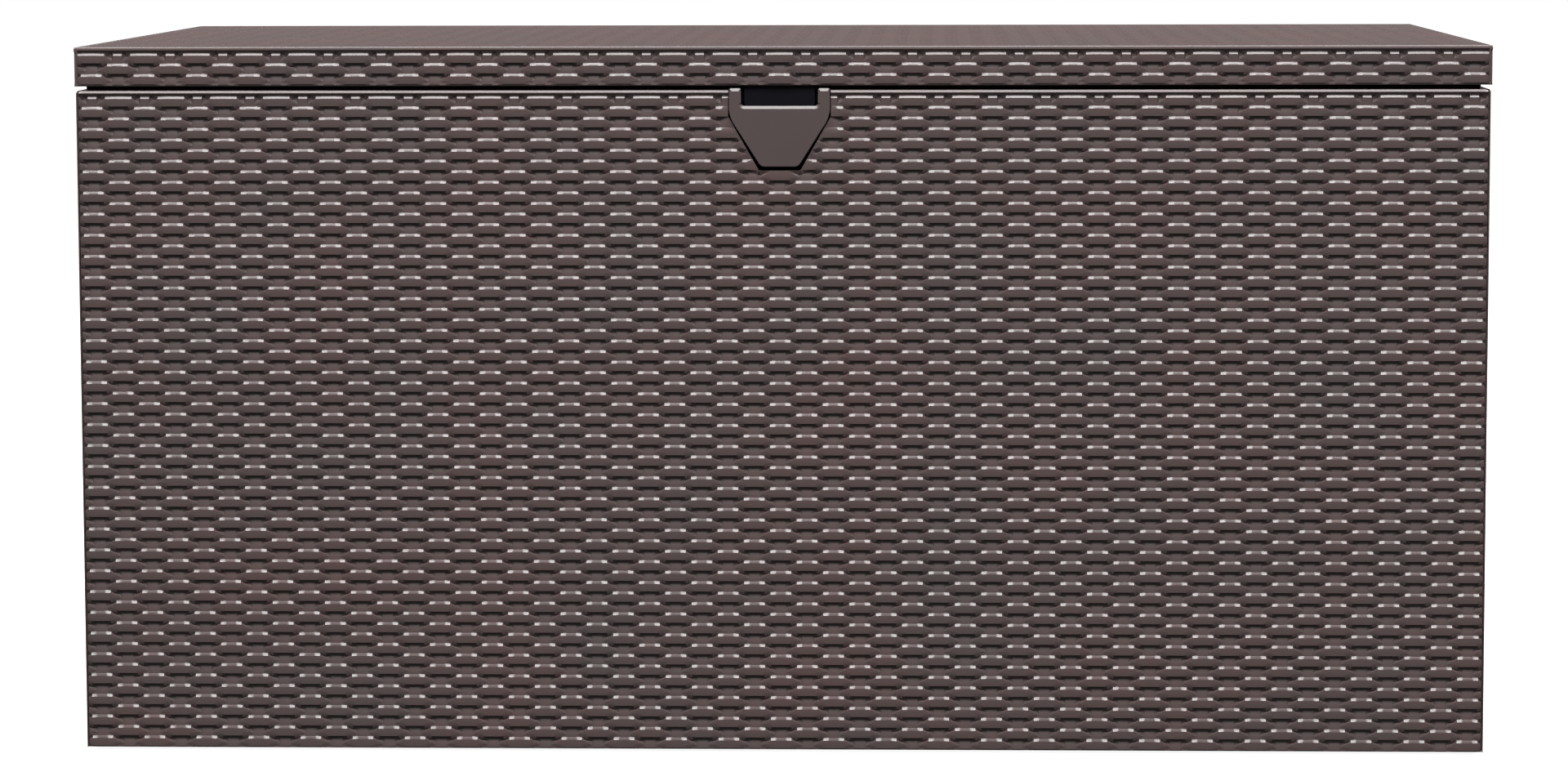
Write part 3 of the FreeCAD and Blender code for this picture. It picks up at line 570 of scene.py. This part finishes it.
class BOX_OT_long_walls(bpy.types.Operator):
    """Build the woven front and back walls"""
    bl_idname = "box.long_walls"
    bl_label = "Front and back walls"

    def execute(self, context):
        weave = context.scene.box_weave
        half = FRONT_HIGH.x - SEAM
        height = FRONT_HIGH.z - FRONT_LOW.z
        front = Side((-half, FRONT_LOW.y, FRONT_LOW.z), RIGHT, UP, 2 * half, height)
        bm = wall_grid(front, weave.column_pitch, weave.long_columns, 1)
        round_top_corners(bm, front, WALL_CORNER)
        cut_shield(bm)
        close_back(bm, front, WALL_SKIN)
        self.trim(bm, FRONT_LOW.y + WALL_SKIN, 1)
        piece("front_wall", bm, "box", "woven_resin", ["front_panel"])
        back = Side((half, BACK_HIGH.y, BACK_LOW.z), -RIGHT, UP, 2 * half, height)
        bm = wall_grid(back, weave.column_pitch, weave.long_columns, 1)
        round_top_corners(bm, back, WALL_CORNER)
        close_back(bm, back, WALL_SKIN)
        self.trim(bm, BACK_HIGH.y - WALL_SKIN, -1)
        piece("back_wall", bm, "box", "woven_resin", ["back_panel"])
        return {"FINISHED"}

    def trim(self, bm, inner_y, inward):
        """Adds the ribs and the upper ledge, which the front wall's opening interrupts."""
        add_long_ribs(bm, inner_y, inward)
        half = SIDE_HIGH.x - WALL_SKIN
        near, far = sorted((inner_y - inward * 0.5 * MM, inner_y + inward * FLANGE))
        spans = [(-half, half)]
        if inward > 0:
            spans = [(-half, -OPENING_HALF_WIDTH), (OPENING_HALF_WIDTH, half)]
        for low, high in spans:
            add_block(bm, (low, near, FRONT_HIGH.z - FLANGE), (high, far, FRONT_HIGH.z - 0.3 * MM))


class BOX_OT_side_walls(bpy.types.Operator):
    """Build the woven side walls"""
    bl_idname = "box.side_walls"
    bl_label = "Side walls"

    def execute(self, context):
        weave = context.scene.box_weave
        height = SIDE_HIGH.z - SIDE_LOW.z
        depth = SIDE_HIGH.y - SIDE_LOW.y
        sides = {"right": (1, Side((SIDE_HIGH.x, SIDE_LOW.y, SIDE_LOW.z), BACK, UP, depth, height)),
                 "left": (-1, Side((-SIDE_HIGH.x, SIDE_HIGH.y, SIDE_LOW.z), -BACK, UP, depth, height))}
        count = columns_for(depth, weave.column_pitch, weave.wall_margin)
        for name, (sign, side) in sides.items():
            bm = wall_grid(side, depth / (count + 0.12), count, 0)
            close_back(bm, side, WALL_SKIN)
            self.trim(bm, name, sign)
            self.corner_strips(bm, sign)
            piece("side_wall_" + name, bm, "box", "woven_resin", ["side_panel_" + name])
        return {"FINISHED"}

    def trim(self, bm, name, sign):
        """Adds the ribs, both ledges and the block that carries the stay's bracket."""
        inner = sign * (SIDE_HIGH.x - WALL_SKIN)
        near, far = sorted((inner, inner - sign * RIB_DEPTH))
        for y in rib_places(SIDE_LOW.y, SIDE_HIGH.y, False):
            add_block(bm, (near, y, FLOOR_TOP), (far, y + RIB_THICK, RIB_TOP), 0.6 * MM)
        add_block(bm, (near, SIDE_LOW.y + RIB_DEPTH, SIDE_LOW.z + BOTTOM_LEDGE_RISE),
                  (far, SIDE_HIGH.y - RIB_DEPTH, FLOOR_TOP - FLANGE))
        low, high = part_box("stay_wall_bracket_" + name)
        add_block(bm, (near, low.y, low.z), (far, high.y, RIB_TOP), 0.8 * MM)
        near, far = sorted((inner - sign * FLANGE, inner + sign * 0.5 * MM))
        add_block(bm, (near, SIDE_LOW.y + FLANGE, SIDE_HIGH.z - FLANGE),
                  (far, SIDE_HIGH.y - FLANGE, SIDE_HIGH.z - 0.3 * MM))

    def corner_strips(self, bm, sign):
        """Adds the narrow strips that show beside the front and the back wall."""
        near, far = sorted((sign * (FRONT_HIGH.x - SEAM + 0.35 * MM), sign * (FRONT_HIGH.x - 0.25 * MM)))
        for start, end in ((FRONT_LOW.y + 0.15 * MM, SIDE_LOW.y), (SIDE_HIGH.y, BACK_HIGH.y - 0.15 * MM)):
            add_block(bm, (near, start, SIDE_LOW.z), (far, end, SIDE_HIGH.z - 1.5 * MM), 0.35 * MM)


LID_INSET = 0.2 * MM          # the top sheet lies this far inside the skirts' faces
LID_STRAND = 9.7 * MM
LID_EDGE = (2.0 * MM, 0.3 * MM, 0.3)
SKIRT_PAST_LID = 1.6 * MM     # the skirts' rolled lower edge reaches below the tray
SKIRT_TOP_DROP = 2.0 * MM
SKIRT_ROWS = 3
SKIRT_STRAND = 9.6 * MM
SKIRT_FIRST = 4.4 * MM
SKIRT_ABOVE = ((0.0, 0.1 * MM), (1.0 * MM, 0.0), (1.7 * MM, 1.1 * MM))
SKIRT_EDGE = (2.8 * MM, 0.7 * MM, 0.3)


class BOX_OT_lid(bpy.types.Operator):
    """Build the woven lid"""
    bl_idname = "box.lid"
    bl_label = "Lid"

    def execute(self, context):
        weave = context.scene.box_weave
        width, depth = LID_HIGH.x - LID_LOW.x, LID_HIGH.y - LID_LOW.y
        self.top(weave, width - 2 * LID_INSET, depth - 2 * LID_INSET)
        low = LID_LOW.z - SKIRT_PAST_LID
        tall = LID_HIGH.z - low - SKIRT_TOP_DROP
        count = columns_for(depth, weave.column_pitch, weave.lid_margin)
        across = (depth - 2 * weave.lid_margin) / count
        skirts = {
            "front": (Side((LID_LOW.x, LID_LOW.y, low), RIGHT, UP, width, tall),
                      weave.column_pitch, weave.long_columns),
            "back": (Side((LID_HIGH.x, LID_HIGH.y, low), -RIGHT, UP, width, tall),
                     weave.column_pitch, weave.long_columns),
            "right": (Side((LID_HIGH.x, LID_LOW.y, low), BACK, UP, depth, tall), across, count),
            "left": (Side((LID_LOW.x, LID_HIGH.y, low), -BACK, UP, depth, tall), across, count),
        }
        below = ((tall - 0.9 * MM, 1.5 * MM), (tall - 0.1 * MM, 2.4 * MM), (tall, 2.9 * MM))
        for name, (side, pitch, columns) in skirts.items():
            bm = woven_grid(side, pitch, SKIRT_STRAND, weave.relief, columns, SKIRT_ROWS, SKIRT_FIRST,
                            SKIRT_ABOVE, below, SKIRT_EDGE)
            close_back(bm, side, LID_SKIN + 0.3 * MM)
            piece("lid_skirt_" + name, bm, "lid", "woven_resin")
        return {"FINISHED"}

    def top(self, weave, width, depth):
        """The lid's woven top; its strands run from side to side."""
        side = Side((LID_HIGH.x - LID_INSET, LID_HIGH.y - LID_INSET, LID_HIGH.z), -RIGHT, -BACK, width, depth)
        rows = int((depth - 4 * MM) / LID_STRAND)
        first = (depth - rows * LID_STRAND) / 2
        above = ((0.0, 2.4 * MM), (1.1 * MM, 0.3 * MM))
        below = ((depth - 1.1 * MM, 0.3 * MM), (depth, 2.4 * MM))
        bm = woven_grid(side, weave.column_pitch, LID_STRAND, weave.lid_relief, weave.long_columns, rows,
                        first, above, below, LID_EDGE, points=(0, 1, 3))
        close_back(bm, side, LID_SKIN)
        piece("lid_top", bm, "lid", "woven_resin", ["lid_shell"], 30)


class BOX_OT_grip_plate(bpy.types.Operator):
    """Build the smooth shield plate with its finger notch"""
    bl_idname = "box.grip_plate"
    bl_label = "Finger plate"

    def execute(self, context):
        half, top, bottom = PLATE_HIGH.x, PLATE_HIGH.z, PLATE_LOW.z
        shoulder, floor_z = top - PLATE_SIDE, top - NOTCH_DEPTH
        bm = bmesh.new()
        right = [(PLATE_HALF_FOOT, bottom), (half, shoulder), (half, top), (NOTCH_HALF_WIDTH, top),
                 (NOTCH_HALF_WIDTH, floor_z)]
        ring = right + [(-x, z) for x, z in reversed(right)]
        face = bm.faces.new([bm.verts.new((x, PLATE_LOW.y, z)) for x, z in ring])
        grown = bmesh.ops.extrude_face_region(bm, geom=[face])["geom"]
        bmesh.ops.translate(bm, vec=(0, PLATE_HIGH.y - PLATE_LOW.y, 0),
                            verts=[item for item in grown if isinstance(item, bmesh.types.BMVert)])
        bmesh.ops.recalc_face_normals(bm, faces=bm.faces)
        for radius, chosen in ((1.6 * MM, lambda at: at.z > top - 1 * MM),
                               (7 * MM, lambda at: abs(at.z - shoulder) < 1e-5),
                               (3.2 * MM, lambda at: at.z < bottom + 1e-5 or abs(at.z - floor_z) < 1e-5)):
            corners = [e for e in bm.edges if abs(e.verts[0].co.y - e.verts[1].co.y) > 1 * MM
                       and chosen(e.verts[0].co)]
            bmesh.ops.bevel(bm, geom=corners, offset=radius, segments=6, profile=0.5, affect="EDGES",
                            material=-1)
        bmesh.ops.recalc_face_normals(bm, faces=bm.faces)
        self.round_front(bm, floor_z)
        piece("finger_plate", bm, "box", "smooth_resin", ["grip_plate"], 20)
        return {"FINISHED"}

    def round_front(self, bm, floor_z):
        """Rounds the front edges, and slopes the notch's lower edge and the ears' tops back."""
        slope, pull = 2.5 * MM, 0.9 * MM

        def sloped(edge):
            middle = (edge.verts[0].co + edge.verts[1].co) / 2
            in_notch = abs(middle.x) < NOTCH_HALF_WIDTH + 1e-5
            at_floor = floor_z - 1e-5 < middle.z < floor_z + 3.0 * MM
            return in_notch and at_floor or middle.z > PLATE_HIGH.z - 1.2 * MM

        for at_slope, offset, segments in ((False, 0.5 * MM, 2), (True, slope, 1)):
            front = [e for e in bm.edges if all(abs(v.co.y - PLATE_LOW.y) < 1e-6 for v in e.verts)
                     and sloped(e) == at_slope]
            bmesh.ops.bevel(bm, geom=front, offset=offset, segments=segments, profile=0.5, affect="EDGES",
                            material=-1)
        for vert in bm.verts:
            if abs(vert.co.y - PLATE_LOW.y - slope) < 1e-5:
                vert.co.y -= pull


class BOX_OT_frame_finishes(bpy.types.Operator):
    """Give every solid that stays visible its finish"""
    bl_idname = "box.frame_finishes"
    bl_label = "Finishes of the solid parts"

    def execute(self, context):
        slots = {row["node"]: row["material_slot"] for row in frame["record"]["subparts"]}
        for name, obj in frame["nodes"].items():
            obj.data.materials.clear()
            obj.data.materials.append(material(slots[name]))
        return {"FINISHED"}


# place, target and size of each soft box, in metres; sign is the side of the box
KEY_LAMP = ((0.0, -4.7, 8.1), (0.0, -0.35, 0.3), (9.0, 3.6))
CORNER_LAMPS = {name: ((sign * 2.6, 1.6, 1.9), (sign * 0.4, 0.2, 0.35), (1.6, 1.6))
                for sign, name in ((1, "right"), (-1, "left"))}
FLOOR_HALF_WIDTH = 29
BACKDROP_RADIUS = 30


class BOX_OT_stage(bpy.types.Operator):
    """Build the floor, lights and camera"""
    bl_idname = "box.stage"
    bl_label = "Stage"

    def execute(self, context):
        settings = context.scene.box_stage
        scene = context.scene
        scene.view_settings.view_transform = "Standard"
        world = bpy.data.worlds.new("room")
        scene.world = world
        world.use_nodes = True
        background = world.node_tree.nodes["Background"]
        background.inputs["Color"].default_value = (1, 1, 1, 1)
        background.inputs["Strength"].default_value = settings.sky
        self.floor()
        self.backdrop()
        self.lamp("key", settings.key, *KEY_LAMP)
        for name, lamp in CORNER_LAMPS.items():
            self.lamp(name, settings.corners, *lamp)
        camera = bpy.data.cameras.new("camera")
        camera.lens, camera.sensor_width = settings.lens, 36.0
        camera.shift_y = settings.camera_shift
        camera.clip_end = 100
        view = bpy.data.objects.new("camera", camera)
        scene.collection.objects.link(view)
        view.location = settings.camera_place
        level = Euler((math.pi / 2 - settings.camera_tilt, 0, settings.camera_yaw)).to_matrix()
        view.rotation_euler = (level @ Matrix.Rotation(settings.camera_roll, 3, "Z")).to_euler()
        scene.camera = view
        return {"FINISHED"}

    def floor(self):
        """A white floor that shows the box's soft shadow but throws no light on it."""
        bm = bmesh.new()
        bmesh.ops.create_grid(bm, x_segments=2, y_segments=2, size=FLOOR_HALF_WIDTH)
        book = Book("pale_floor")
        length = book.node("ShaderNodeVectorMath", {"operation": "LENGTH"}, {0: book.place})
        away = Value(book, length.outputs["Value"])
        glow = book.blend((away - 0.8).clamped(), (0.93, 0.93, 0.93, 1), (1, 1, 1, 1))
        book.surface(Base_Color=(0.3, 0.3, 0.3, 1), Roughness=0.9, Emission_Color=glow,
                     Emission_Strength=1.0)
        self.unlit(add_object("floor", bm, book.material))

    def backdrop(self):
        """A plain white dome round the scene."""
        bm = bmesh.new()
        bmesh.ops.create_uvsphere(bm, u_segments=32, v_segments=16, radius=BACKDROP_RADIUS)
        book = Book("backdrop")
        book.surface(Base_Color=(0, 0, 0, 1), Roughness=1.0, Emission_Color=(1, 1, 1, 1),
                     Emission_Strength=1.0)
        self.unlit(add_object("backdrop", bm, book.material)).visible_shadow = False

    def unlit(self, obj):
        """Keeps a stage object from lighting the box."""
        obj.visible_diffuse = obj.visible_glossy = False
        return obj

    def lamp(self, name, power, place, target, size):
        """A soft box that the camera doesn't see."""
        light = bpy.data.lights.new(name, "AREA")
        light.shape, light.energy = "RECTANGLE", power
        light.size, light.size_y = size
        obj = bpy.data.objects.new(name, light)
        bpy.context.scene.collection.objects.link(obj)
        obj.location = place
        obj.rotation_euler = (Vector(target) - Vector(place)).to_track_quat("-Z", "Y").to_euler()
        obj.visible_camera = False


class BOX_PT_panel(bpy.types.Panel):
    """The box's pieces and settings"""
    bl_label = "Deck Box"
    bl_space_type = "VIEW_3D"
    bl_region_type = "UI"
    bl_category = "Deck Box"

    def draw(self, context):
        for settings in (context.scene.box_weave, context.scene.box_finish, context.scene.box_stage):
            for key in settings.__annotations__:
                self.layout.prop(settings, key)
        for operator in OPERATORS:
            self.layout.operator(operator.bl_idname)


SETTINGS = {"box_weave": WeaveSettings, "box_finish": FinishSettings, "box_stage": StageSettings}
OPERATORS = (BOX_OT_stage, BOX_OT_frame_finishes, BOX_OT_long_walls, BOX_OT_side_walls, BOX_OT_lid,
             BOX_OT_grip_plate)


def register():
    for name, group in SETTINGS.items():
        bpy.utils.register_class(group)
        setattr(bpy.types.Scene, name, bpy.props.PointerProperty(type=group))
    for kind in OPERATORS + (BOX_PT_panel,):
        bpy.utils.register_class(kind)


def unregister():
    for kind in reversed(OPERATORS + (BOX_PT_panel,)):
        bpy.utils.unregister_class(kind)
    for name, group in SETTINGS.items():
        delattr(bpy.types.Scene, name)
        bpy.utils.unregister_class(group)


def main():
    register()
    for operator in OPERATORS:
        group, name = operator.bl_idname.split(".")
        getattr(getattr(bpy.ops, group), name)()


if __name__ == "__main__":
    main()
